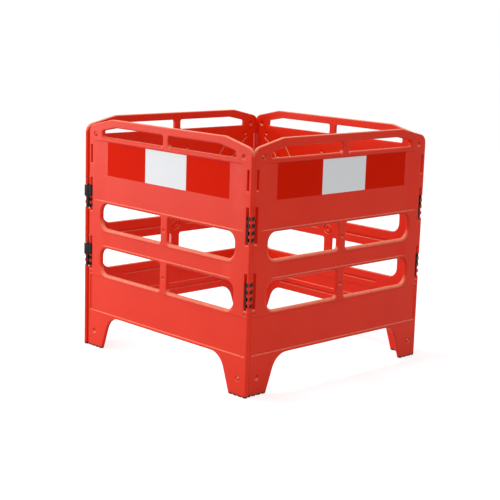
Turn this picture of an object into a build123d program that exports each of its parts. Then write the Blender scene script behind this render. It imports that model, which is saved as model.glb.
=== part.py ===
from build123d import *
import math
import os

# Manhole guard barrier: four alike moulded gates stand in a square, and black clips hinge each gate's right
# edge to the next gate's left edge. Millimetres, +Z up, origin on the ground at the middle of the square.
# A gate is drawn in its own frame: x along its width, z up, outer face towards -y, middle plane at y = 0.

# Gate, overall. Its height is the sum of the rows below.
gate_width = 1012.0
gate_thickness = 16.0

# Rows of the gate, from the ground up
arch_height = 155.0
kick_board_height = 165.0
lower_slot_height = 133.0
middle_board_height = 67.0
upper_slot_height = 125.0
sign_board_height = 271.0
handle_slot_height = 56.0
top_rail_height = 28.0

# Feet, arch and shoulders
foot_width = 99.0
foot_spread = 54.0
foot_round = 8.0
foot_notch_count = 3
foot_notch_width = 9.0
foot_notch_depth = 4.5
arch_round = 80.0
shoulder_run = 156.0
shoulder_fall = 41.0
shoulder_round = 40.0
shoulder_top_round = 60.0

# Slots
post_width = 38.0
handle_post_width = 29.0
slot_stile_width = 82.0
handle_stile_width = 91.0
slot_inner_round = 13.0
slot_outer_round = 45.0
handle_inner_round = 12.0
handle_outer_round = 10.0
handle_end_height = 27.0
handle_slope_run = 97.0

# Recessed boards of the outer face
recess_depth = 4.0
recess_slope = 45.0
recess_lip = 8.0
recess_border = 9.0
middle_recess_inset = 24.0
recess_notch_width = 24.0
recess_notch_height = 7.0
recess_notch_place = 267.0

# Hinge edge: the edge is round, windows free a bead behind it, and the bead is necked at the hinge combs
window_width = 11.0
core_radius = 3.5
notch_height = 14.0
knuckle_height = 13.5
notch_count = 4
lower_hinge_height = 405.0
hinge_spacing = 255.0
window_above = 35.0
window_below = 12.0
top_window_low = 804.0
top_window_height = 81.0

# Corners and hinge clips
corner_lap = 8.0
fold_gap = 1.7
turn_clearance = 0.3
seat_clearance = 0.1
hook_wall = 2.8
hook_mouth = 5.2
arm_width = 5.0
spine_width = 5.0
plate_thickness = 2.0

# Reflective sheets
sheet_thickness = 0.8
sheet_height = 140.0
sheet_drop = 6.0
sheet_joint = 0.4
white_width = 254.0
red_width = 250.0

# Dimples and channels, where the two walls of the moulding meet
dimple_radius = 7.0
dimple_depth = 4.0
corner_dimple_inset = 48.0
corner_dimple_drop = 69.0
foot_dimple_inset = 47.5
foot_dimple_height = 71.5
channel_width = 13.0
channel_depth = 4.0
channel_end_cut = 4.5
middle_channel_start = 60.0
middle_channel_end = 385.0
kick_channel_start = 45.0
kick_channel_end = 305.0
kick_channel_drop = 26.0
kick_low_channel_half = 300.0
kick_low_channel_rise = 32.0
kick_band_low = 55.0
kick_band_high = 109.0
kick_band_border = 86.0
diagonal_length = 46.0
diagonal_slope = 30.0
diagonal_places = ((262.0, 188.0), (402.0, 220.0))
ring_radius = 25.0
ring_groove_width = 6.0
ring_eye_radius = 8.0

# Round forms too small to show are drawn with flats
bead_sides = 8
neck_sides = 6
ring_sides = 12
smallest_round = 20.0
flat_cut = 0.65

# Worked out from the sizes above
half_width = gate_width / 2
half_thickness = gate_thickness / 2
kick_top = arch_height + kick_board_height
middle_low = kick_top + lower_slot_height
middle_top = middle_low + middle_board_height
sign_low = middle_top + upper_slot_height
sign_top = sign_low + sign_board_height
handle_top = sign_top + handle_slot_height
gate_height = handle_top + top_rail_height
bead_radius = half_thickness
bead_axis = half_width - bead_radius
bead_reach = bead_radius / math.cos(math.pi / bead_sides)
plate_gap = bead_reach - bead_radius + turn_clearance
window_side = bead_axis - bead_radius - window_width
recess_half = window_side - recess_border
notch_pitch = notch_height + knuckle_height
comb_height = notch_count * notch_height + (notch_count - 1) * knuckle_height
comb_lows = [middle - comb_height / 2 for middle in (lower_hinge_height, lower_hinge_height + hinge_spacing)]
notch_rises = [i * notch_pitch for i in range(notch_count)]
fold_offset = gate_thickness + fold_gap
pivot_spacing = math.hypot(fold_offset, corner_lap)
clip_turn = math.degrees(math.atan2(corner_lap, fold_offset))
square_side = gate_width - 2 * bead_radius + fold_offset - corner_lap
board_floor = half_thickness - recess_depth


def rounded(*corners):
    """Face through corners given as (x, y, radius): wide ones are round, tight ones cut flat, 0 stays sharp."""
    face = make_face(Polyline(*[(x, y) for x, y, _ in corners], close=True))
    for x, y, radius in corners:
        if radius == 0:
            continue
        corner = face.vertices().sort_by_distance((x, y, 0))[:1]
        if radius < smallest_round:
            face = chamfer(corner, radius * flat_cut)
        else:
            face = fillet(corner, radius)
    return face


def sunk(face, depth, slope):
    """Solid going down from a face, its sides sloping inwards by the angle from upright."""
    floor = offset(face, -depth * math.tan(math.radians(slope)), kind=Kind.INTERSECTION)
    return loft([face.face(), Pos(0, 0, -depth) * floor.face()], ruled=True)


def both_sides(face):
    """The face and its mirror image across the gate's middle."""
    return Sketch() + [face, mirror(face, Plane.YZ)]


def on_outer(face, depth):
    """Cutter of a face sunk into the gate's outer side."""
    return extrude(Plane.XZ.offset(half_thickness) * face, -depth)


def on_inner(face, depth):
    """Cutter of a face sunk into the gate's inner side."""
    return extrude(Plane.XZ.offset(-half_thickness) * face, depth)


def outline():
    """Outer line of the gate: level top, sloping shoulders, two notched feet and the arch between them."""
    foot_inside = half_width - foot_width
    foot_pitch = (foot_width + foot_notch_width) / (foot_notch_count + 1)
    first_middle = foot_inside - foot_notch_width / 2 + foot_pitch
    notch_middles = [first_middle + i * foot_pitch for i in range(foot_notch_count)]
    right = [
        (foot_inside - foot_spread, arch_height, arch_round),
        (foot_inside, 0, foot_round),
    ]
    for middle in notch_middles:
        right.append((middle - foot_notch_width / 2, 0, 0))
        right.append((middle, foot_notch_depth, 0))
        right.append((middle + foot_notch_width / 2, 0, 0))
    right += [
        (half_width, 0, foot_round),
        (half_width, gate_height - shoulder_fall, shoulder_round),
        (half_width - shoulder_run, gate_height, shoulder_top_round),
    ]
    left = [(-x, y, radius) for x, y, radius in reversed(right)]
    return rounded(*right, *left)


def row_slot(low, high):
    """Slot of a row between two boards: tight corners at the post, wide ones at the stile."""
    inner = post_width / 2
    outer = half_width - slot_stile_width
    return rounded(
        (inner, low, slot_inner_round),
        (outer, low, slot_outer_round),
        (outer, high, slot_outer_round),
        (inner, high, slot_inner_round),
    )


def handle_slot():
    """Hand hole under the top rail, its outer end sloping with the shoulder."""
    inner = handle_post_width / 2
    outer = half_width - handle_stile_width
    return rounded(
        (inner, sign_top, handle_inner_round),
        (outer, sign_top, handle_outer_round),
        (outer, sign_top + handle_end_height, handle_outer_round),
        (outer - handle_slope_run, handle_top, handle_outer_round),
        (inner, handle_top, handle_inner_round),
    )


def bead(radius):
    """Cross-section of a bead about its own axis, drawn with flats that touch the radius."""
    return RegularPolygon(radius, bead_sides, major_radius=False, rotation=180 / bead_sides)


def plan():
    """The gate seen from above: one thickness all along, ending in a half-round edge at each side."""
    beads = [Pos(side * bead_axis, 0) * bead(bead_radius) for side in (-1, 1)]
    return extrude(Rectangle(2 * bead_axis, gate_thickness) + beads, gate_height)


def recess(low, high, half):
    """Sunk board of the outer face with sloping sides."""
    face = Pos(0, (low + high) / 2) * Rectangle(2 * half, high - low)
    return Plane.XZ.offset(half_thickness) * sunk(face, recess_depth, recess_slope)


def recesses():
    """The three sunk boards, with small notches in the lower lips of the upper and lower ones."""
    slot_end = half_width - slot_stile_width
    cuts = [
        recess(sign_low + recess_lip, sign_top - recess_lip, recess_half),
        recess(middle_low + recess_lip, middle_top - recess_lip, slot_end - middle_recess_inset),
        recess(arch_height + recess_lip, kick_top - recess_lip / 2, recess_half),
    ]
    for low in (sign_low + recess_lip, arch_height + recess_lip):
        notch = Pos(recess_notch_place, low) * Rectangle(recess_notch_width, recess_notch_height)
        cuts.append(on_outer(both_sides(notch), recess_depth / 2))
    return cuts


def windows():
    """Slots behind the bead at both edges: one plain at the top and one for each hinge comb."""
    heights = [(low - window_below, comb_height + window_below + window_above) for low in comb_lows]
    heights.append((top_window_low, top_window_height))
    face = Rectangle(bead_axis - window_side, gate_thickness, align=(Align.MIN, Align.CENTER))
    face = Pos(window_side, 0) * face - Pos(bead_axis, 0) * bead(bead_radius)
    return [Pos(0, 0, low) * extrude(both_sides(face), height) for low, height in heights]


def necks():
    """Rings cut out of the bead, leaving the slim cores that the clips turn on."""
    ring = Rectangle(2 * bead_radius, 2 * bead_radius) - RegularPolygon(core_radius, neck_sides)
    ring = both_sides(Pos(bead_axis, 0) * ring)
    return [Pos(0, 0, low + rise) * extrude(ring, notch_height) for low in comb_lows for rise in notch_rises]


def dimples():
    """Small dents: at the corners of both faces, and on the feet and posts of the outer one."""
    dent = RegularPolygon(dimple_radius, neck_sides)
    corner = Pos(half_width - corner_dimple_inset, gate_height - corner_dimple_drop) * dent
    foot = Pos(half_width - foot_dimple_inset, foot_dimple_height) * dent
    posts = [Pos(0, height) * dent for height in ((middle_top + sign_low) / 2, (kick_top + middle_low) / 2)]
    outer = both_sides(corner) + both_sides(foot) + posts
    return [on_outer(outer, dimple_depth), on_inner(both_sides(corner), dimple_depth)]


def channel(length):
    """Channel with tapering ends, lying level about the origin."""
    return chamfer(Rectangle(length, channel_width).vertices(), channel_end_cut)


def inner_channels():
    """Channels, band and ring of the inner face, where its wall is pressed against the outer one."""
    middle = (middle_low + middle_top) / 2
    spans = [
        (middle_channel_start, middle_channel_end, middle),
        (kick_channel_start, kick_channel_end, kick_top - kick_channel_drop),
    ]
    halves = [Pos((start + end) / 2, height) * channel(end - start) for start, end, height in spans]
    for x, rise in diagonal_places:
        halves.append(Pos(x, sign_low + rise) * Rot(0, 0, diagonal_slope) * channel(diagonal_length))
    low_channel = Pos(0, arch_height + kick_low_channel_rise) * channel(2 * kick_low_channel_half)
    band = Rectangle(gate_width - 2 * kick_band_border, kick_band_high - kick_band_low)
    band = Pos(0, arch_height + (kick_band_low + kick_band_high) / 2) * band
    ring = RegularPolygon(ring_radius, ring_sides)
    ring -= RegularPolygon(ring_radius - ring_groove_width, ring_sides)
    ring += RegularPolygon(ring_eye_radius, neck_sides)
    cuts = [on_inner(both_sides(face), channel_depth) for face in halves]
    cuts.append(on_inner(low_channel, channel_depth))
    cuts.append(on_inner(band, channel_depth / 2))
    cuts.append(on_inner(Pos(0, middle) * ring, channel_depth))
    return cuts


def gate():
    """One moulded gate standing on the ground, centred on its own middle plane."""
    slots = [row_slot(kick_top, middle_low), row_slot(middle_top, sign_low), handle_slot()]
    board = extrude(Plane.XZ * outline(), half_thickness, both=True)
    board -= [extrude(Plane.XZ * both_sides(slot), gate_thickness, both=True) for slot in slots]
    board = board & plan()
    return board - recesses() - windows() - necks() - dimples() - inner_channels()


def sheet(start, width):
    """Reflective sheet on the floor of the upper board, its left side at start."""
    top = sign_top - recess_lip - sheet_drop
    face = Pos(start, top) * Rectangle(width, sheet_height, align=(Align.MIN, Align.MAX))
    return extrude(Plane.XZ.offset(board_floor) * face, sheet_thickness)


def turning_hook():
    """Finger that a neck turns in, seen from above: an open hook round the origin, its arm towards -y."""
    bore = core_radius + turn_clearance
    hook = RegularPolygon(bore + hook_wall, neck_sides, major_radius=False)
    arm = Rectangle(arm_width, pivot_spacing / 2, align=(Align.CENTER, Align.MAX))
    mouth = Rectangle(hook_mouth, pivot_spacing / 2, align=(Align.CENTER, Align.MIN))
    return hook + arm - RegularPolygon(bore, neck_sides, major_radius=False) - mouth


def fixed_finger():
    """Finger that stops against a neck of its own gate, seen from above, with the neck's axis at the origin."""
    start = core_radius + seat_clearance
    return Pos(0, start) * Rectangle(arm_width, pivot_spacing / 2 - start, align=(Align.CENTER, Align.MIN))


def cover_plate():
    """Plate bent round the outer sides of both beads, seen from above, the fixed bead's axis the origin."""
    pair = [Pos(0, 0), Pos(0, pivot_spacing)]
    plate = Sketch() + [place * bead(bead_radius + plate_gap + plate_thickness) for place in pair]
    plate -= [place * bead(bead_radius + plate_gap) for place in pair]
    return plate & Rectangle(pivot_spacing, 4 * pivot_spacing, align=(Align.MIN, Align.CENTER))


def clip():
    """Clip of one comb: the fixed bead's axis is the z axis, the turning bead lies pivot_spacing towards +y.
    Its lowest finger stands on the floor of the lowest notch, at z = 0. A spine in the groove between the
    two beads carries the fingers, and a plate covers the upper half."""
    outside = bead_radius + plate_gap + plate_thickness
    groove_floor = math.sqrt((bead_reach + turn_clearance) ** 2 - (pivot_spacing / 2 - spine_width / 2) ** 2)
    spine = Pos(groove_floor, pivot_spacing / 2) * Rectangle(
        outside - groove_floor, spine_width, align=(Align.MIN, Align.CENTER))
    bridge = Pos(0, pivot_spacing / 2) * Rectangle(outside, spine_width, align=(Align.MIN, Align.CENTER))
    finger = Pos(0, pivot_spacing) * turning_hook() + bridge + fixed_finger()
    solids = [Pos(0, 0, rise + turn_clearance) * extrude(finger, notch_height - 3 * turn_clearance)
              for rise in notch_rises]
    for rise in (notch_rises[0], notch_rises[-1]):
        solids.append(Pos(0, 0, rise) * extrude(fixed_finger(), notch_height - turn_clearance))
    solids.append(Pos(0, 0, turn_clearance) * extrude(spine, comb_height - 3 * turn_clearance))
    plate_low = comb_height / 2
    solids.append(Pos(0, 0, plate_low) * extrude(cover_plate(), comb_height / 2 - 2 * turn_clearance))
    return Part() + solids


os.makedirs("parts", exist_ok=True)
gate_solid = gate()
upright_clip = clip()
flipped_clip = Pos(0, 0, comb_height - turn_clearance) * Rot(0, 180, 0) * upright_clip
clips = {"a": flipped_clip, "b": flipped_clip, "c": upright_clip, "d": upright_clip}
sheets = {
    "white_sheet": sheet(-white_width / 2, white_width),
    "red_sheet_left": sheet(-white_width / 2 - sheet_joint - red_width, red_width),
    "red_sheet_right": sheet(white_width / 2 + sheet_joint, red_width),
}
gate_place = Pos((fold_offset + corner_lap) / 2, -square_side / 2)
clip_place = Pos(square_side / 2 + corner_lap, -square_side / 2) * Rot(0, 0, clip_turn)
for quarter, letter in enumerate("abcd"):
    turn = Rot(0, 0, 90 * quarter)
    export_step(turn * gate_place * gate_solid, f"parts/gate_{letter}.step")
    for name, solid in sheets.items():
        export_step(turn * gate_place * solid, f"parts/{name}_{letter}.step")
    for level, low in zip(("lower", "upper"), comb_lows):
        solid = turn * clip_place * Pos(0, 0, low) * clips[letter]
        export_step(solid, f"parts/hinge_clip_{level}_{letter}.step")
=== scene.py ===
import math
import bmesh
import bpy
import numpy as np
from mathutils import Matrix, Vector
from mathutils.geometry import delaunay_2d_cdt


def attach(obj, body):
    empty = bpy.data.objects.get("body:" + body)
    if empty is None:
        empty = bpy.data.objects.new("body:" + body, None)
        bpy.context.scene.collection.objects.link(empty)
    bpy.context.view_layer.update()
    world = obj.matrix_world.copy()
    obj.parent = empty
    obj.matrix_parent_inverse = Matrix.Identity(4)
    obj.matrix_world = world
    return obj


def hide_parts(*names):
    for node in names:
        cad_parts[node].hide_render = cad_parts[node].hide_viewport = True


# Looks of a folding square barrier. A gate is worked out once, in millimetres, in its own frame: x along
# its width, z up, outer face towards -y. The four gates are that one shape turned about the middle of the
# square.

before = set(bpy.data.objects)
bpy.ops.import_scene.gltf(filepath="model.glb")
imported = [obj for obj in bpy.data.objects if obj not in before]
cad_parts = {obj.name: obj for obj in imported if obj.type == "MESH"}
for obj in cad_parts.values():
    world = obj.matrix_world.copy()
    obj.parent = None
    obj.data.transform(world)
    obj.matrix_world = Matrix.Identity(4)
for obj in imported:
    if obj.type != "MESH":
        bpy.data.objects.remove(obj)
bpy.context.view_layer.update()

# Square and gate
SQUARE_SIDE = 1005.7
GATE_SHIFT = 12.85
CORNER_LAP = 8.0
FOLD_OFFSET = 17.7
HALF_WIDTH = 506.0
HALF_THICKNESS = 8.0
GATE_TOP = 1000.0

# Outline: arch, notched feet, shoulders and top
ARCH_HEIGHT = 151.0
ARCH_HALF = 353.0
ARCH_ROUND = 80.0
FOOT_IN = 407.0
FOOT_ROUND = 8.0
FOOT_NOTCHES = (429.5, 456.5, 483.5)
FOOT_NOTCH_HALF = 6.0
FOOT_NOTCH_RISE = 6.5
FOOT_NOTCH_FOOT_ROUND = 1.0
FOOT_NOTCH_PEAK_ROUND = 1.5
SHOULDER_HEIGHT = 964.0
SHOULDER_ROUND = 40.0
TOP_HALF = 350.0
TOP_ROUND = 60.0

# Hinge edge: bead, the comb of necks in each window, and the plain window above them
BEAD_AXIS = 498.0
BEAD_RADIUS = 7.9
CORE_RADIUS = 3.5
WINDOW_IN = 479.0
WINDOW_OUT = 490.0
WINDOW_BELOW = 12.0
WINDOW_ABOVE = 35.0
WINDOW_ROUND = 2.0
WINDOW_LIP_ROUND = 0.5
PLAIN_WINDOW_LOW = 804.0
PLAIN_WINDOW_TOP = 885.0
PLAIN_WINDOW_ROUND = 3.0
COMB_LOWS = (356.75, 611.75)
COMB_HEIGHT = 96.5
NOTCH_COUNT = 4
NOTCH_HEIGHT = 14.0
NOTCH_PITCH = 27.5

# Slots, as rows of sill and head, and hand holes, whose outer ends slope with the shoulders
SLOT_ROWS = ((332.0, 447.0), (532.0, 639.0))
SLOT_IN = 22.0
SLOT_OUT = 417.0
SLOT_POST_ROUND = 12.0
SLOT_END_ROUND = 40.0
HAND_SILL = 924.0
HAND_TOP = 967.0
HAND_IN = 17.0
HAND_BEND = 322.0
HAND_OUT = 410.0
HAND_END_TOP = 949.0
HAND_POST_ROUND = 10.0
HAND_SILL_ROUND = 6.5
HAND_END_ROUND = 8.0
HAND_BEND_ROUND = 14.0

# Widths of the rims where a wall turns into a face. A slot's rim is narrower on the inner face.
ROUND_RIM = 7.9
TOP_RIM = 4.0
SILL_RIM = 13.0
HEAD_RIM = 8.0
SIDE_RIM = 10.0
POST_RIM = 6.0
HAND_RIM = 11.0
LIP_RIM = 5.0
ARCH_RIM = 4.5
SMALL_RIM = 2.5
INNER_PART = 0.35

# Marks of painted highlight and shade: how fast they grow with the slope, and how strong the narrow painted
# highlight on a hand hole's sill is
MARK_GAIN = 1.6
HAND_HIGHLIGHT = 0.7


def both_sides(rows):
    """Rows that start with x, on the left and then on the right of the gate's middle."""
    return [(side * row[0], *row[1:]) for side in (-1, 1) for row in rows]


# Outer face: boards that run out at their ends, as rows of z, half width, half height and run-out
SIGN_BOARD = (777.5, 475.0, 129.0, 85.0)
MIDDLE_BOARD = (487.0, 415.0, 30.5, 70.0)

# Outer face: rounded boxes, as rows of x, z, half width, half height and corner radius
KICK_BOARD = (0.0, 239.5, 491.0, 78.5, 3.0)
GROOVES = both_sides([((WINDOW_IN + WINDOW_OUT) / 2, 328.5, 5.5, 5.5, 2.0)])
LIP_GAPS = both_sides([(267.0, 160.5, 9.0, 3.5, 1.5), (472.0, 160.5, 4.0, 3.5, 1.5)])

# Outer face: dents, as rows of x, z and radius, and bosses, as rows of x and z
OUTER_DENTS = [(458.0, 931.0, 12.5), (-458.5, 71.5, 12.5), (0.0, 582.5, 8.5), (0.0, 386.5, 8.5)]
BOSSES = [(-458.0, 931.0), (458.5, 71.5)]

# Outer face: depths, the widths of the slopes down to them, and the sizes of a boss's moat and knob
RECESS_DEPTH = 4.0
RECESS_SLOPE = 3.6
GROOVE_DEPTH = 3.0
GROOVE_SLOPE = 2.5
GAP_DEPTH = RECESS_DEPTH / 2
GAP_SLOPE = 2.0
DENT_DEPTH = 5.5
DENT_SLOPE_PART = 0.6
MOAT_RADIUS = 12.5
MOAT_DEPTH = 3.4
MOAT_SLOPE = 3.0
KNOB_RADIUS = 9.0
KNOB_RISE = 5.4
KNOB_SLOPE = 6.5

# Inner face: channels, as rows of x, z, half length, half width, corner radius and slope in degrees
SLANT_HALF = 5.5
SLANT_ROUND = 5.0
SLANTS = ((277.0, 817.0, 30.0, 53.0), (363.0, 796.0, 16.0, 55.0), (420.0, 858.0, 23.0, 38.0))
SLANTING_CHANNELS = [(side * x, z, half, SLANT_HALF, SLANT_ROUND, side * slope)
                     for side in (-1, 1) for x, z, half, slope in SLANTS]
LEVEL_CHANNELS = both_sides([(222.5, 486.5, 162.5, 6.5, 6.0, 0.0), (175.0, 294.0, 130.0, 6.5, 6.0, 0.0)])
LOW_CHANNEL = (0.0, 187.0, 300.0, 6.5, 6.0, 0.0)
CHANNELS = [*LEVEL_CHANNELS, *SLANTING_CHANNELS, LOW_CHANNEL]

# Inner face: the band, a rounded box, the ring with its eye, and dents
BAND = (0.0, 237.0, 420.0, 27.0, 10.0)
RING_HEIGHT = 486.5
RING_RADIUS = 22.0
RING_HALF = 4.0
EYE_RADIUS = 9.0
INNER_DENTS = both_sides([(458.0, 931.0, 12.5), (424.0, 886.0, 9.0),
                          (340.0, 786.0, 9.0), (60.0, 838.0, 8.0)])

# Inner face: depths, and the widths of the slopes down to them
CHANNEL_DEPTH = 5.0
CHANNEL_SLOPE = 3.5
BAND_DEPTH = 3.0
RING_DEPTH = 4.0
RING_SLOPE = 3.0

# How far inside an edge each line of points lies
RECESS_STEPS = np.linspace(0.0, RECESS_SLOPE + 0.5, 8)
GROOVE_STEPS = (0.0, 0.6, 1.2, 1.8, 2.4)
GAP_STEPS = (0.0, 0.7, 1.4, 2.0)
CHANNEL_STEPS = (-0.4, 0.0, 1.0, 2.0, 3.0, 4.0, 4.5)
BAND_STEPS = (-0.4, 0.0, 1.3, 2.6, 4.0, 4.5)

# Radii of round lines of points, for dents as parts of their own radius
DENT_RINGS = np.linspace(0.1, 1.08, 9)
BOSS_RINGS = (13.0, 12.5, 11.7, 10.5, 9.5, 9.0, 7.8, 6.4, 5.0, 3.6, 2.5)
RING_RINGS = (26.4, 26.0, 25.0, 24.0, 23.0, 21.0, 20.0, 19.0, 18.0, 17.6)
EYE_RINGS = (9.4, 9.0, 8.0, 7.0, 6.0)

# Counts of points along curves
CORNER_STEPS = 8
QUARTER_POINTS = 7
RUN_OUT_POINTS = 9
CIRCLE_POINTS = 24
RING_POINTS = 32
SHOULDER_POINTS = 9

# Hinge clips
CLIP_GAP = 0.4
STRIP_SETBACK = 4.5
HOOKED_FROM = 2
BRIDGE_LAP = 1.0
BRIDGE_SHORT = 0.5

# Spine of the last corner's clips: bars in plan, by their ends along a line near the diagonal and across it
WEB_TURN = math.radians(46.05)
WEB = (-5.0, 5.0, -0.75, 0.75)
WEB_TOP_GAP = 2.0
RIB = (9.8, 12.2, -3.0, 5.5)
RIB_LINK = (4.5, 10.2, -0.75, 0.75)

# In metres: the round of a clip's edges, how near two points are one, and how short an edge is none
CLIP_ROUND = 0.0004
SAME_PLACE = 2e-6
NO_LENGTH = 1e-6

# Millimetres in a metre
MILLIMETRES = 1000


# Lines and distances in the plane of a gate

def loop(corners, part=0.0, more=0.0):
    """Closed line through corners given as rows of x, z, radius and rim, anticlockwise, and the rim at each
    point. The side after a corner moves inwards by part of its rim and a little more, so an outward
    corner's radius shrinks by the mean of its two sides' moves and an inward one's grows. A corner is an
    even arc."""
    least_radius = 0.05
    rows = np.asarray(corners, float)
    p, r, rim = rows[:, :2], rows[:, 2], rows[:, 3]
    after = np.roll(p, -1, 0) - p
    after /= np.linalg.norm(after, axis=1, keepdims=True)
    before = np.roll(after, 1, 0)
    cross = before[:, 0] * after[:, 1] - before[:, 1] * after[:, 0]
    dot = (before * after).sum(1)
    turn = np.arctan2(cross, dot)
    n0 = np.stack([-before[:, 1], before[:, 0]], 1)
    n1 = np.stack([-after[:, 1], after[:, 0]], 1)
    rim_before = np.roll(rim, 1)
    d0, d1 = part * rim_before + more, part * rim + more
    p = p + n0 * ((d0 - d1 * dot) / cross ** 2)[:, None] + n1 * ((d1 - d0 * dot) / cross ** 2)[:, None]
    radius = np.maximum(r - (d0 + d1) / 2 * np.sign(turn), least_radius)
    start = p - before * (radius * np.tan(np.abs(turn) / 2))[:, None]
    centre = start + n0 * (np.sign(turn) * radius)[:, None]
    arm = start - centre
    along = np.linspace(0, 1, CORNER_STEPS + 1)
    cos, sin = np.cos(turn[:, None] * along), np.sin(turn[:, None] * along)
    x = centre[:, :1] + arm[:, :1] * cos - arm[:, 1:] * sin
    z = centre[:, 1:] + arm[:, :1] * sin + arm[:, 1:] * cos
    rims = rim_before[:, None] + (rim - rim_before)[:, None] * along
    return np.stack([x.ravel(), z.ravel()], 1), rims.ravel()


def line(corners, more=0.0):
    """Closed line through corners, moved inwards."""
    return loop(corners, 0.0, more)[0]


def circle(x, z, radius, steps=CIRCLE_POINTS):
    """Round line of even points."""
    t = np.linspace(0, 2 * np.pi, steps, endpoint=False)
    return np.stack([x + radius * np.cos(t), z + radius * np.sin(t)], 1)


def board_line(z, half_x, half_z, fade, more):
    """Closed line along the two long edges of a board, moved inwards, with even points where its ends run
    out."""
    x = half_x - more - fade * np.linspace(0, 1, RUN_OUT_POINTS)
    x = np.concatenate([-x, x[::-1]])
    low, high = np.full(len(x), z - half_z + more), np.full(len(x), z + half_z - more)
    return np.concatenate([np.stack([x, low], 1), np.stack([x[::-1], high], 1)])


def mirrored(corners):
    """The same corners across the gate's middle, still anticlockwise, each side keeping its own rim."""
    back = list(reversed(corners))
    return [(-x, z, r, back[(i + 1) % len(back)][3]) for i, (x, z, r, _) in enumerate(back)]


def box(x, z, half_x, half_z, radius):
    """Corners of an upright rounded rectangle about x, z."""
    return [(x - half_x, z - half_z, radius, 0.0), (x + half_x, z - half_z, radius, 0.0),
            (x + half_x, z + half_z, radius, 0.0), (x - half_x, z + half_z, radius, 0.0)]


def turned_box(x, z, half_x, half_z, radius, slope):
    """Corners of a rounded rectangle turned by the slope, in degrees, about its middle x, z."""
    c, s = math.cos(math.radians(slope)), math.sin(math.radians(slope))
    return [(x + c * (a - x) - s * (b - z), z + s * (a - x) + c * (b - z), r, rim)
            for a, b, r, rim in box(x, z, half_x, half_z, radius)]


def box_distance(p, x, z, half_x, half_z, radius, slope=0.0):
    """Distance of points to a rounded rectangle, negative inside: the distance to the same rectangle made
    smaller by its corner radius all round, less that radius."""
    c, s = math.cos(math.radians(slope)), math.sin(math.radians(slope))
    q = p - (x, z)
    q = np.abs(np.stack([c * q[:, 0] + s * q[:, 1], c * q[:, 1] - s * q[:, 0]], 1))
    q = q - (half_x - radius, half_z - radius)
    return np.linalg.norm(np.maximum(q, 0), axis=1) + np.minimum(q.max(1), 0) - radius


def from_point(p, x, z):
    """Distance of points to one point."""
    return np.hypot(p[:, 0] - x, p[:, 1] - z)


def sunk(distance, depth, slope):
    """Depth below a face at a signed distance from an edge: an S-curve from 0 at the edge to the full depth
    one slope width inside it."""
    t = np.clip(-distance / slope, 0, 1)
    return depth * t * t * (3 - 2 * t)


def dent_depth(p, x, z, radius):
    """Depth of a round dent that slopes over part of its radius."""
    return sunk(from_point(p, x, z) - radius, DENT_DEPTH, DENT_SLOPE_PART * radius)


def inside(p, edge):
    """Which points lie inside a closed line, by counting how often a level ray from each crosses it."""
    a, b = edge, np.roll(edge, -1, 0)
    x, z = p[:, :1], p[:, 1:]
    rise = b[:, 1] - a[:, 1]
    at = a[:, 0] + (z - a[:, 1]) * (b[:, 0] - a[:, 0]) / np.where(rise == 0, 1, rise)
    return (((a[:, 1] > z) != (b[:, 1] > z)) & (x < at)).sum(1) % 2 == 1


# Surfaces, as points, faces and marks

def grid_faces(rows, columns):
    """Quads of a grid whose last column joins its first."""
    i, j = np.meshgrid(np.arange(rows - 1), np.arange(columns), indexing="ij")
    k = (j + 1) % columns
    quads = np.stack([i * columns + j, (i + 1) * columns + j, (i + 1) * columns + k, i * columns + k], -1)
    return quads.reshape(-1, 4)


def marked(upward):
    """Mark of a surface by the upward part of its normal: above 0 it gets painted highlight, below 0
    painted shade.
    """
    return np.clip(MARK_GAIN * upward, -1, 1)


def wall(corners, outer, inner):
    """Wall of the plate along a closed line: a quarter round of the rim's width from the outer face, a
    straight part, and a quarter round to the inner face. Each row of the grid is the line moved by that
    row's part of the outer or the inner share of the rim; a hole's shares are negative. A rim wider than
    the round one is as deep as that one, so its quarter is an ellipse's. Rims that face up get a mark of
    painted highlight and rims that face down one of painted shade; a hand hole's sill gets a narrow line
    of painted highlight."""
    quarter = np.linspace(0, np.pi / 2, QUARTER_POINTS)
    points, marks = [], []
    for side, share, angles in ((-1, outer, quarter), (1, inner, quarter[::-1])):
        for t in angles:
            edge, rim = loop(corners, share * (1 - math.sin(t)))
            y = side * (HALF_THICKNESS - np.minimum(rim * abs(share), ROUND_RIM) * (1 - math.cos(t)))
            points.append(np.stack([edge[:, 0], y, edge[:, 1]], 1))
            ahead = np.roll(edge, -1, 0) - np.roll(edge, 1, 0)
            # The mark is painted highlight on rims that face up and painted shade on rims that face down.
            upward = -math.copysign(1.0, outer) * ahead[:, 0] / np.linalg.norm(ahead, axis=1)
            narrow = np.where(rim == HAND_RIM, HAND_HIGHLIGHT * math.sin(t) ** 3, 1.0)
            marks.append(marked(upward * math.sin(t)) * narrow)
    return np.concatenate(points), grid_faces(len(points), len(points[0])), np.concatenate(marks)


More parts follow.
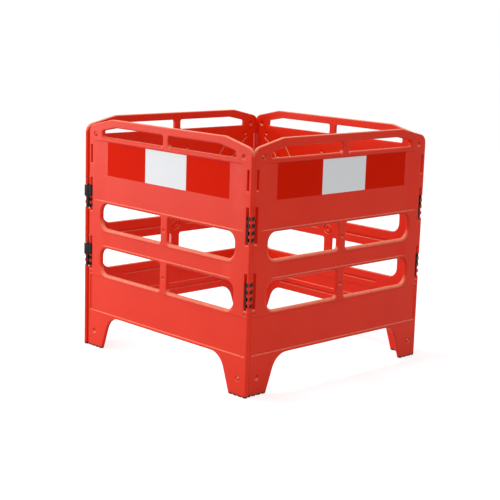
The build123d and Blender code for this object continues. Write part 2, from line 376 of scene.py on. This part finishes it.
def face(outline, holes, part, side, depth, extra):
    """Flat face inside an outline and outside its holes, which are wider by part of their rims, filled with
    triangles between the closed lines. Every point is sunk below the face by the depth function, whose
    slope gives the mark of painted highlight where the face slopes up and painted shade where it slopes
    down; the extra lines only place points where it bends. A guard line close to each edge keeps the
    rim's shading from spreading over the flat."""
    guard = 0.3
    same = 1e-4
    step = 0.02
    edges = [loop(outline, 1.0)[0]] + [loop(h, -part)[0] for h in holes]
    guards = [loop(outline, 1.0, guard)[0]] + [loop(h, -part, -guard)[0] for h in holes]
    lines = edges + guards + extra
    points = np.concatenate(lines)
    starts = np.cumsum([0] + [len(row) for row in lines])
    pairs = [(int(s + i), int(s + (i + 1) % (e - s)))
             for s, e in zip(starts, starts[1:]) for i in range(e - s)]
    out = delaunay_2d_cdt([Vector(p) for p in points], pairs, [], 0, same, False)
    found = np.array([tuple(v) for v in out[0]])
    tris = np.array([t for t in out[2] if len(t) == 3])
    middle = found[tris].mean(1)
    keep = inside(middle, edges[0])
    for edge in edges[1:]:
        keep &= ~inside(middle, edge)
    level = side * (HALF_THICKNESS - depth(found))
    # Painted highlight where the sunk face slopes up, painted shade where it slopes down.
    rise = (depth(found + (0, step)) - depth(found - (0, step))) / (2 * step)
    return np.stack([found[:, 0], level, found[:, 1]], 1), tris[keep], marked(rise / np.hypot(1, rise))


def rod(low, side):
    """Bead across the window of one hinge comb: a radius that falls to the core's in each notch, with soft
    shoulders, turned about the bead's upright axis. Its ends are inside the plate."""
    hidden = 7.0
    soft = 1.2
    ends = low + np.arange(NOTCH_COUNT) * NOTCH_PITCH
    shoulders = np.concatenate([ends, ends + NOTCH_HEIGHT])
    z = np.concatenate([shoulders + d for d in np.linspace(-soft, soft, SHOULDER_POINTS)])
    bottom, top = low - WINDOW_BELOW - hidden, low + COMB_HEIGHT + WINDOW_ABOVE + hidden
    z = np.unique(np.concatenate([z, [bottom, low - 2 * soft, low + COMB_HEIGHT + 2 * soft, top]]))
    within = NOTCH_HEIGHT / 2 - np.abs(z[:, None] - (ends + NOTCH_HEIGHT / 2))
    t = np.clip(within.max(1) / (2 * soft) + 0.5, 0, 1)
    r = BEAD_RADIUS - (BEAD_RADIUS - CORE_RADIUS) * t * t * (3 - 2 * t)
    z = np.concatenate([z[:1], z, z[-1:]])
    r = np.concatenate([[0], r, [0]])
    a = np.linspace(0, 2 * np.pi, CIRCLE_POINTS, endpoint=False)
    points = np.stack([side * BEAD_AXIS + np.outer(r, np.cos(a)), np.outer(r, np.sin(a)),
                       np.repeat(z[:, None], len(a), 1)], -1).reshape(-1, 3)
    return points, grid_faces(len(z), len(a)), np.zeros(len(points))


def joined(parts):
    """One array of points, list of faces and array of marks from several parts."""
    points = np.concatenate([p for p, _, _ in parts])
    starts = np.cumsum([0] + [len(p) for p, _, _ in parts])
    faces = [row for (_, f, _), s in zip(parts, starts) for row in (f + s).tolist()]
    return points, faces, np.concatenate([m for _, _, m in parts])


# The gate's own shapes

def outline_corners():
    """Outer line: notched feet, round side edges open at the two comb windows, sloping shoulders, level
    top."""
    right = [(ARCH_HALF, ARCH_HEIGHT, ARCH_ROUND, ARCH_RIM), (FOOT_IN, 0.0, FOOT_ROUND, SMALL_RIM)]
    for middle in FOOT_NOTCHES:
        right += [(middle - FOOT_NOTCH_HALF, 0.0, FOOT_NOTCH_FOOT_ROUND, SMALL_RIM),
                  (middle, FOOT_NOTCH_RISE, FOOT_NOTCH_PEAK_ROUND, SMALL_RIM),
                  (middle + FOOT_NOTCH_HALF, 0.0, FOOT_NOTCH_FOOT_ROUND, SMALL_RIM)]
    right.append((HALF_WIDTH, 0.0, FOOT_ROUND, ROUND_RIM))
    for low in COMB_LOWS:
        bottom, top = low - WINDOW_BELOW, low + COMB_HEIGHT + WINDOW_ABOVE
        right += [(HALF_WIDTH, bottom, WINDOW_LIP_ROUND, LIP_RIM),
                  (WINDOW_IN, bottom, WINDOW_ROUND, SMALL_RIM),
                  (WINDOW_IN, top, WINDOW_ROUND, SMALL_RIM),
                  (HALF_WIDTH, top, WINDOW_LIP_ROUND, ROUND_RIM)]
    right.append((HALF_WIDTH, SHOULDER_HEIGHT, SHOULDER_ROUND, TOP_RIM))
    right.append((TOP_HALF, GATE_TOP, TOP_ROUND, TOP_RIM))
    left = mirrored(right)
    left[-1] = (*left[-1][:3], ARCH_RIM)
    return right + left


def hole_corners():
    """Two rows of slots, the hand holes and the plain top windows, on both sides of the middle."""
    right = [[(SLOT_IN, sill, SLOT_POST_ROUND, SILL_RIM), (SLOT_OUT, sill, SLOT_END_ROUND, SIDE_RIM),
              (SLOT_OUT, head, SLOT_END_ROUND, HEAD_RIM), (SLOT_IN, head, SLOT_POST_ROUND, POST_RIM)]
             for sill, head in SLOT_ROWS]
    right.append([(HAND_IN, HAND_SILL, HAND_POST_ROUND, HAND_RIM),
                  (HAND_OUT, HAND_SILL, HAND_SILL_ROUND, HAND_RIM),
                  (HAND_OUT, HAND_END_TOP, HAND_END_ROUND, LIP_RIM),
                  (HAND_BEND, HAND_TOP, HAND_BEND_ROUND, LIP_RIM),
                  (HAND_IN, HAND_TOP, HAND_POST_ROUND, LIP_RIM)])
    right.append([(x, z, PLAIN_WINDOW_ROUND, SMALL_RIM)
                  for x, z in ((WINDOW_IN, PLAIN_WINDOW_LOW), (WINDOW_OUT, PLAIN_WINDOW_LOW),
                               (WINDOW_OUT, PLAIN_WINDOW_TOP), (WINDOW_IN, PLAIN_WINDOW_TOP))])
    return right + [mirrored(h) for h in right]


def outer_depth(p):
    """Depth below the outer face: the deepest of the sunk boards, the grooves, the gaps in the kick board's
    lower lip and the dents, with a moat added and a knob taken off at each boss. The depth of the sign
    board and the middle board runs out towards their ends."""
    depths = [sunk(np.abs(p[:, 1] - z) - half_z, RECESS_DEPTH, RECESS_SLOPE)
              * sunk(np.abs(p[:, 0]) - half_x, 1.0, fade)
              for z, half_x, half_z, fade in (SIGN_BOARD, MIDDLE_BOARD)]
    depths.append(sunk(box_distance(p, *KICK_BOARD), RECESS_DEPTH, RECESS_SLOPE))
    depths += [sunk(box_distance(p, *groove), GROOVE_DEPTH, GROOVE_SLOPE) for groove in GROOVES]
    depths += [sunk(box_distance(p, *gap), GAP_DEPTH, GAP_SLOPE) for gap in LIP_GAPS]
    depths += [dent_depth(p, *dent) for dent in OUTER_DENTS]
    depth = np.maximum.reduce(depths)
    for boss in BOSSES:
        away = from_point(p, *boss)
        depth = depth + sunk(away - MOAT_RADIUS, MOAT_DEPTH, MOAT_SLOPE)
        depth = depth - sunk(away - KNOB_RADIUS, KNOB_RISE, KNOB_SLOPE)
    return depth


def outer_lines():
    """Closed lines that place points where the outer face bends."""
    lines = [board_line(*board, d) for board in (SIGN_BOARD, MIDDLE_BOARD) for d in RECESS_STEPS]
    lines += [line(box(*KICK_BOARD), d) for d in RECESS_STEPS]
    lines += [line(box(*groove), d) for groove in GROOVES for d in GROOVE_STEPS]
    lines += [line(box(*gap), d) for gap in LIP_GAPS for d in GAP_STEPS]
    lines += [circle(x, z, r * k) for x, z, r in OUTER_DENTS for k in DENT_RINGS]
    return lines + [circle(x, z, r) for x, z in BOSSES for r in BOSS_RINGS]


def inner_depth(p):
    """Depth below the inner face: the deepest of the channels, the band, the ring with its eye, and the
    dents."""
    away = from_point(p, 0.0, RING_HEIGHT)
    depths = [sunk(box_distance(p, *channel), CHANNEL_DEPTH, CHANNEL_SLOPE) for channel in CHANNELS]
    depths.append(sunk(box_distance(p, *BAND), BAND_DEPTH, CHANNEL_SLOPE))
    depths.append(sunk(np.abs(away - RING_RADIUS) - RING_HALF, RING_DEPTH, RING_SLOPE))
    depths.append(sunk(away - EYE_RADIUS, RING_DEPTH, RING_SLOPE))
    depths += [dent_depth(p, *dent) for dent in INNER_DENTS]
    return np.maximum.reduce(depths)


def inner_lines():
    """Closed lines that place points where the inner face bends."""
    lines = [line(turned_box(*channel), d) for channel in CHANNELS for d in CHANNEL_STEPS]
    lines += [line(box(*BAND), d) for d in BAND_STEPS]
    lines += [circle(0.0, RING_HEIGHT, r, RING_POINTS) for r in RING_RINGS]
    lines += [circle(0.0, RING_HEIGHT, r) for r in EYE_RINGS]
    return lines + [circle(x, z, r * k) for x, z, r in INNER_DENTS for k in DENT_RINGS]


def body_parts():
    """The moulded plate, with its slots, sunk boards, dents, bosses and inner channels, and the four hinge
    beads."""
    outline, holes = outline_corners(), hole_corners()
    parts = [wall(outline, 1.0, 1.0)] + [wall(h, -1.0, -INNER_PART) for h in holes]
    parts.append(face(outline, holes, 1.0, -1, outer_depth, outer_lines()))
    parts.append(face(outline, holes, INNER_PART, 1, inner_depth, inner_lines()))
    return parts + [rod(low, side) for low in COMB_LOWS for side in (-1, 1)]


gate_points, gate_faces, gate_marks = joined(body_parts())


# Objects on the bodies

def linked(name, mesh, body, node):
    """New object of a mesh that stands for a CAD node and rides its body."""
    obj = bpy.data.objects.new(name, mesh)
    bpy.context.scene.collection.objects.link(obj)
    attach(obj, body)
    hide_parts(node)
    return obj


def placed(points, quarter):
    """Points of a gate in metres, moved to one side of the square and turned by quarters about its
    middle."""
    x = points[:, 0] + GATE_SHIFT
    y = points[:, 1] - SQUARE_SIDE / 2
    c, s = round(math.cos(quarter * math.pi / 2)), round(math.sin(quarter * math.pi / 2))
    return np.stack([c * x - s * y, s * x + c * y, points[:, 2]], 1) / MILLIMETRES


def gate_object(letter, quarter):
    """One gate on its side of the square, with its marks of painted highlight and painted shade."""
    mesh = bpy.data.meshes.new(f"moulding_{letter}")
    mesh.from_pydata(placed(gate_points, quarter).tolist(), [], gate_faces)
    # The attribute carries the marks of painted highlight and painted shade.
    mesh.attributes.new("light_mark", "FLOAT", "POINT").data.foreach_set("value", gate_marks.astype(np.float32))
    bm = bmesh.new()
    bm.from_mesh(mesh)
    bmesh.ops.remove_doubles(bm, verts=bm.verts, dist=SAME_PLACE)
    bmesh.ops.dissolve_degenerate(bm, edges=bm.edges, dist=NO_LENGTH)
    bmesh.ops.delete(bm, geom=[v for v in bm.verts if not v.link_faces], context="VERTS")
    bmesh.ops.recalc_face_normals(bm, faces=bm.faces)
    bm.to_mesh(mesh)
    bm.free()
    mesh.shade_smooth()
    obj = linked(f"moulding_{letter}", mesh, f"panel_{letter}", f"gate_{letter}")
    flats = obj.modifiers.new("even_flats", "WEIGHTED_NORMAL")
    flats.mode = "FACE_AREA"
    flats.weight = 100
    return obj


def prism(outer, low, high, inner=None):
    """Upright prism over a closed line in plan, or over the ring between two lines of as many points."""
    bore = np.broadcast_to(outer.mean(0), outer.shape) if inner is None else inner
    rows = [(bore, low), (outer, low), (outer, high), (bore, high)]
    if inner is not None:
        rows.append((bore, low))
    points = np.concatenate([np.insert(row, 2, z, axis=1) for row, z in rows])
    return points, grid_faces(len(rows), len(outer)), np.zeros(len(points))


def bar(x0, x1, y0, y1):
    """Corners of an upright bar in plan."""
    return np.array([(x0, y0), (x1, y0), (x1, y1), (x0, y1)], float)


def hinge_clip_parts(low):
    """Clip of one comb: a strip in the window behind the bead, and at each notch an arm past the neck that
    ends in a ring round the next gate's neck. The two upper arms also hook round the neck's outer side."""
    next_axis = (BEAD_AXIS - CORNER_LAP, FOLD_OFFSET)
    near, far = CORE_RADIUS + CLIP_GAP, BEAD_RADIUS - CLIP_GAP
    strip_in, strip_out = WINDOW_IN + STRIP_SETBACK, WINDOW_OUT - CLIP_GAP
    strip = bar(strip_in, strip_out, -far, far)
    arm = bar(strip_in + CLIP_GAP, BEAD_AXIS + near, near, far)
    bridge = bar(next_axis[0] - near, BEAD_AXIS + near, far - BRIDGE_LAP, FOLD_OFFSET - near - BRIDGE_SHORT)
    hook = bar(strip_in + CLIP_GAP, BEAD_AXIS, -far, -near)
    parts = [prism(strip, low + CLIP_GAP, low + COMB_HEIGHT - CLIP_GAP)]
    for i in range(NOTCH_COUNT):
        bottom = low + i * NOTCH_PITCH + CLIP_GAP
        top = bottom + NOTCH_HEIGHT - 2 * CLIP_GAP
        parts += [prism(arm, bottom, top), prism(bridge, bottom, top)]
        parts.append(prism(circle(*next_axis, far), bottom, top, circle(*next_axis, near)))
        if i >= HOOKED_FROM:
            parts.append(prism(hook, bottom, top))
    return parts


def spine_parts(low):
    """Web between the two beads, from a clip's lower end to just below the window's top, and a rib over the
    clip's lower half, joined to the web by a link."""
    middle = np.array([BEAD_AXIS - CORNER_LAP / 2, FOLD_OFFSET / 2])
    c, s = math.cos(WEB_TURN), math.sin(WEB_TURN)
    axes = np.array([(c, -s), (s, c)])
    bottom = low + CLIP_GAP
    half_way = low + COMB_HEIGHT / 2
    web_top = low + COMB_HEIGHT + WINDOW_ABOVE - WEB_TOP_GAP
    return [prism(middle + bar(*plan) @ axes, bottom, top)
            for plan, top in ((WEB, web_top), (RIB, half_way), (RIB_LINK, half_way))]


def clip_mesh(name, source, quarter):
    """The clips of three corners are worked out; those of the last corner, with their cover plates, are
    copies of the CAD mesh with its flats merged, and get a spine."""
    mesh = bpy.data.meshes.new(name)
    low = COMB_LOWS["upper" in name]
    points, faces, _ = joined(spine_parts(low) if name.endswith("d") else hinge_clip_parts(low))
    mesh.from_pydata(placed(points, quarter).tolist(), [], faces)
    bm = bmesh.new()
    bm.from_mesh(mesh)
    if name.endswith("d"):
        bm.from_mesh(source.data)
    bmesh.ops.remove_doubles(bm, verts=bm.verts, dist=SAME_PLACE)
    bmesh.ops.dissolve_degenerate(bm, edges=bm.edges, dist=NO_LENGTH)
    bmesh.ops.recalc_face_normals(bm, faces=bm.faces)
    bmesh.ops.dissolve_limit(bm, angle_limit=math.radians(2), verts=bm.verts, edges=bm.edges)
    bm.to_mesh(mesh)
    bm.free()
    return mesh


def clip_object(name, source):
    """A clip with its edges rounded."""
    mesh = clip_mesh(name.replace("hinge_clip", "clip"), source, "abcd".index(name[-1]))
    obj = linked(mesh.name, mesh, f"panel_{name[-1]}", name)
    bevel = obj.modifiers.new("round", "BEVEL")
    bevel.width = CLIP_ROUND
    bevel.segments = 2
    bevel.limit_method = "ANGLE"
    bevel.angle_limit = math.radians(25)
    bevel.harden_normals = True
    mesh.shade_smooth()
    return obj


# Materials. Colours are linear red, green and blue, and the heights of the dirt and painted contact shadow
# at the feet are in metres.

PLASTIC_DEEP, PLASTIC_PALE = (0.79, 0.024, 0.003), (0.83, 0.030, 0.005)
# Painted highlight for surfaces that face up, and painted shade for those that face down
PAINTED_HIGHLIGHT = (0.97, 0.32, 0.19)
PAINTED_SHADE = (0.30, 0.004, 0.002)
# Dirt and painted contact shadow on the lowest millimetres of the feet
FOOT_SHADOW_AND_DIRT = (0.07, 0.008, 0.006)
FOOT_DARK_TOP, FOOT_DARK_FULL = 0.011, 0.005
# How much of the painted shade is laid on
PAINTED_SHADE_SHARE = 0.6
WHITE_FACE, WHITE_WALLS = (0.86, 0.88, 0.90), (0.78, 0.80, 0.84)
RED_FACE, RED_WALLS = (0.72, 0.013, 0.001), (0.64, 0.010, 0.001)
CLIP_DEEP, CLIP_PALE = (0.007, 0.008, 0.008), (0.015, 0.017, 0.016)

# Places of a mix node's two colours among its inputs, and of the mixed one among its outputs
FIRST_COLOUR, SECOND_COLOUR, MIXED_COLOUR = 6, 7, 2


def material(name):
    """New node material, its node tree and its shader."""
    mat = bpy.data.materials.new(name)
    mat.use_nodes = True
    return mat, mat.node_tree, mat.node_tree.nodes["Principled BSDF"]


def node(tree, kind, **values):
    """New node with inputs set by name and, for names in lower case, properties."""
    made = tree.nodes.new(kind)
    for key, value in values.items():
        if key.islower():
            setattr(made, key, value)
        else:
            made.inputs[key.replace("_", " ")].default_value = value
    return made


def noise(tree, scale, detail=3.0):
    """Noise over the piece's own coordinates."""
    where = node(tree, "ShaderNodeTexCoord")
    made = node(tree, "ShaderNodeTexNoise", Scale=scale, Detail=detail)
    tree.links.new(where.outputs["Object"], made.inputs["Vector"])
    return made.outputs["Fac"]


def ramp(tree, value, low, high):
    """A value stretched from between low and high to between 0 and 1."""
    made = node(tree, "ShaderNodeMapRange", From_Min=low, From_Max=high)
    tree.links.new(value, made.inputs["Value"])
    return made.outputs["Result"]


def spread(tree, value, low, high):
    """A value from 0 to 1 brought to between low and high."""
    made = node(tree, "ShaderNodeMapRange", To_Min=low, To_Max=high)
    tree.links.new(value, made.inputs["Value"])
    return made.outputs["Result"]


def mix(tree, factor, first, second):
    """Colour between two; either may be a colour or an output."""
    made = node(tree, "ShaderNodeMix", data_type="RGBA")
    tree.links.new(factor, made.inputs["Factor"])
    for value, place in ((first, FIRST_COLOUR), (second, SECOND_COLOUR)):
        if isinstance(value, tuple):
            made.inputs[place].default_value = (*value, 1)
        else:
            tree.links.new(value, made.inputs[place])
    return made.outputs[MIXED_COLOUR]


def maths(tree, operation, first, second):
    """Arithmetic on an output and an output or number."""
    made = node(tree, "ShaderNodeMath", operation=operation)
    tree.links.new(first, made.inputs[0])
    if isinstance(second, (int, float)):
        made.inputs[1].default_value = second
    else:
        tree.links.new(second, made.inputs[1])
    return made.outputs[0]


def bumped(tree, shader, height, distance, strength, under=None):
    """Bump on the shader's normal, on top of another bump if one is given."""
    made = node(tree, "ShaderNodeBump", Strength=strength, Distance=distance)
    tree.links.new(height, made.inputs["Height"])
    if under:
        tree.links.new(under, made.inputs["Normal"])
    tree.links.new(made.outputs["Normal"], shader.inputs["Normal"])
    return made.outputs["Normal"]


def darkened_at_feet(tree, colour):
    """A colour darkened on the lowest few millimetres, unevenly, for dirt and a painted contact shadow."""
    where = node(tree, "ShaderNodeTexCoord")
    split = node(tree, "ShaderNodeSeparateXYZ")
    tree.links.new(where.outputs["Object"], split.inputs["Vector"])
    # Painted contact shadow and dirt, full at the floor and gone a few millimetres up.
    near = ramp(tree, split.outputs["Z"], FOOT_DARK_TOP, FOOT_DARK_FULL)
    patches = ramp(tree, noise(tree, scale=90.0, detail=4.0), low=0.15, high=0.5)
    return mix(tree, maths(tree, "MULTIPLY", near, patches), colour, FOOT_SHADOW_AND_DIRT)


def gate_plastic():
    """Moulded polyethylene: a slightly uneven orange red with a fine grain over faint waves, unevenly paler
    with painted highlight where rims and slopes face up, darker with painted shade where they face down,
    and darkened at the feet with dirt and a painted contact shadow."""
    mat, tree, shader = material("gate_plastic")
    clouds = ramp(tree, noise(tree, scale=4.0), low=0.3, high=0.7)
    colour = mix(tree, clouds, PLASTIC_DEEP, PLASTIC_PALE)
    # The mark is painted highlight where a surface faces up and painted shade where it faces down.
    mark = node(tree, "ShaderNodeAttribute", attribute_name="light_mark").outputs["Fac"]
    patches = ramp(tree, noise(tree, scale=60.0, detail=4.0), low=0.35, high=0.75)
    uneven = spread(tree, patches, low=0.6, high=0.95)
    highlight_share = maths(tree, "MULTIPLY", ramp(tree, mark, low=0.0, high=1.0), uneven)
    shade_share = maths(tree, "MULTIPLY", ramp(tree, mark, low=0.0, high=-1.0), PAINTED_SHADE_SHARE)
    colour = mix(tree, highlight_share, colour, PAINTED_HIGHLIGHT)
    colour = mix(tree, shade_share, colour, PAINTED_SHADE)
    tree.links.new(darkened_at_feet(tree, colour), shader.inputs["Base Color"])
    rough = spread(tree, noise(tree, scale=25.0, detail=4.0), low=0.36, high=0.48)
    tree.links.new(rough, shader.inputs["Roughness"])
    shader.inputs["Specular IOR Level"].default_value = 0.2
    waves = bumped(tree, shader, noise(tree, scale=14.0, detail=1.0), distance=0.0015, strength=0.35)
    grain = noise(tree, scale=900.0, detail=2.0)
    bumped(tree, shader, grain, distance=0.0002, strength=0.3, under=waves)
    return mat


def sheeting(name, colour, wall_colour):
    """Reflective sheeting: a clear face over small cells, whose walls show as faint lines."""
    mat, tree, shader = material(name)
    where = node(tree, "ShaderNodeTexCoord")
    cells = node(tree, "ShaderNodeTexVoronoi", feature="DISTANCE_TO_EDGE", Scale=300.0, Randomness=0.15)
    tree.links.new(where.outputs["Object"], cells.inputs["Vector"])
    within = ramp(tree, cells.outputs["Distance"], low=0.0, high=0.08)
    tree.links.new(mix(tree, within, wall_colour, colour), shader.inputs["Base Color"])
    rough = spread(tree, noise(tree, scale=12.0), low=0.45, high=0.6)
    tree.links.new(rough, shader.inputs["Roughness"])
    shader.inputs["Specular IOR Level"].default_value = 0.015
    bumped(tree, shader, within, distance=0.0001, strength=0.15)
    return mat


def clip_plastic():
    """Dull black moulded plastic with a fine grain."""
    mat, tree, shader = material("clip_plastic")
    clouds = ramp(tree, noise(tree, scale=120.0), low=0.3, high=0.7)
    tree.links.new(mix(tree, clouds, CLIP_DEEP, CLIP_PALE), shader.inputs["Base Color"])
    rough = spread(tree, noise(tree, scale=300.0), low=0.45, high=0.65)
    tree.links.new(rough, shader.inputs["Roughness"])
    shader.inputs["Specular IOR Level"].default_value = 0.25
    bumped(tree, shader, noise(tree, scale=1500.0, detail=2.0), distance=0.0001, strength=0.4)
    return mat


def dress(obj, mat):
    """One material all over a piece."""
    obj.data.materials.clear()
    obj.data.materials.append(mat)


plastic = gate_plastic()
white = sheeting("white_sheeting", WHITE_FACE, WHITE_WALLS)
red = sheeting("red_sheeting", RED_FACE, RED_WALLS)
black = clip_plastic()
for quarter, letter in enumerate("abcd"):
    dress(gate_object(letter, quarter), plastic)
for name, obj in list(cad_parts.items()):
    if name.startswith("white_sheet"):
        dress(obj, white)
    elif name.startswith("red_sheet"):
        dress(obj, red)
    elif name.startswith("hinge_clip"):
        dress(clip_object(name, obj), black)

# Floor, light and camera, in metres

FLOOR_HALF = 40.0

# Tone of the floor for rays that only light, its tone and glow for rays that see it, and the sky's light
FLOOR_TONE = 0.93
FLOOR_SEEN = 0.55
FLOOR_GLOW = 0.71
WORLD_LIGHT = 0.55
FULL_WHITE = (1, 1, 1, 1)


def seen_ray(tree):
    """1 for a ray from the camera, a gloss or a clear piece, 0 for a ray that only lights."""
    path = node(tree, "ShaderNodeLightPath")
    seen = maths(tree, "MAXIMUM", path.outputs["Is Camera Ray"], path.outputs["Is Glossy Ray"])
    return maths(tree, "MAXIMUM", seen, path.outputs["Is Transmission Ray"])


floor_corners = [(x * FLOOR_HALF, y * FLOOR_HALF, 0) for x, y in ((-1, -1), (1, -1), (1, 1), (-1, 1))]
floor_mesh = bpy.data.meshes.new("floor")
floor_mesh.from_pydata(floor_corners, [], [(0, 1, 2, 3)])
floor = bpy.data.objects.new("floor", floor_mesh)
bpy.context.scene.collection.objects.link(floor)
floor_mat, floor_tree, floor_shader = material("pale_floor")
seen = seen_ray(floor_tree)
tone = mix(floor_tree, seen, (FLOOR_TONE,) * 3, (FLOOR_SEEN,) * 3)
floor_tree.links.new(tone, floor_shader.inputs["Base Color"])
glow = spread(floor_tree, seen, low=0.0, high=FLOOR_GLOW)
floor_tree.links.new(glow, floor_shader.inputs["Emission Strength"])
floor_shader.inputs["Emission Color"].default_value = FULL_WHITE
floor_shader.inputs["Roughness"].default_value = 1.0
floor_shader.inputs["Specular IOR Level"].default_value = 0.0
dress(floor, floor_mat)

world = bpy.data.worlds.new("studio")
bpy.context.scene.world = world
world.use_nodes = True
sky_tree = world.node_tree
sky = sky_tree.nodes["Background"]
sky_light = spread(sky_tree, seen_ray(sky_tree), low=WORLD_LIGHT, high=1.0)
sky_tree.links.new(sky_light, sky.inputs["Strength"])
sky.inputs["Color"].default_value = FULL_WHITE


def lamp(name, place, aim, width, height, power):
    """Soft lamp of a width and a height, pointing at a place."""
    data = bpy.data.lights.new(name, "AREA")
    data.shape = "RECTANGLE"
    data.size = width
    data.size_y = height
    data.energy = power
    made = bpy.data.objects.new(name, data)
    made.location = place
    made.rotation_euler = (Vector(aim) - Vector(place)).to_track_quat("-Z", "Y").to_euler()
    bpy.context.scene.collection.objects.link(made)


lamp("key", place=(-3.2, -3.4, 0.95), aim=(0, 0, 0.55), width=3.0, height=1.5, power=69)
lamp("top", place=(-0.8, -0.6, 4.5), aim=(0, 0, 0.3), width=1.6, height=1.6, power=95)

AZIMUTH, ELEVATION, ROLL = math.radians(46.055), math.radians(11.02), math.radians(1.801)
AIM = Vector((-0.069305, 0.056043, 0.4265))
DISTANCE = 5.630688
FOCAL_PIXELS = 1276.659
PICTURE_PIXELS = 500
SENSOR = 36.0
SIGHT_END = 200.0

level_out = Vector((math.sin(AZIMUTH), -math.cos(AZIMUTH), 0))
out = level_out * math.cos(ELEVATION) + Vector((0, 0, math.sin(ELEVATION)))
right = (-out).cross(Vector((0, 0, 1))).normalized()
up = right.cross(-out)
across = right * math.cos(ROLL) + up * math.sin(ROLL)
upward = up * math.cos(ROLL) - right * math.sin(ROLL)
camera_data = bpy.data.cameras.new("camera")
camera_data.sensor_width = SENSOR
camera_data.lens = FOCAL_PIXELS / PICTURE_PIXELS * SENSOR
camera_data.clip_end = SIGHT_END
camera = bpy.data.objects.new("camera", camera_data)
turn = Matrix((across, upward, out)).transposed().to_4x4()
camera.matrix_world = Matrix.Translation(AIM + out * DISTANCE) @ turn
bpy.context.scene.collection.objects.link(camera)
bpy.context.scene.camera = camera
bpy.context.scene.view_settings.view_transform = "Standard"

bpy.context.view_layer.update()
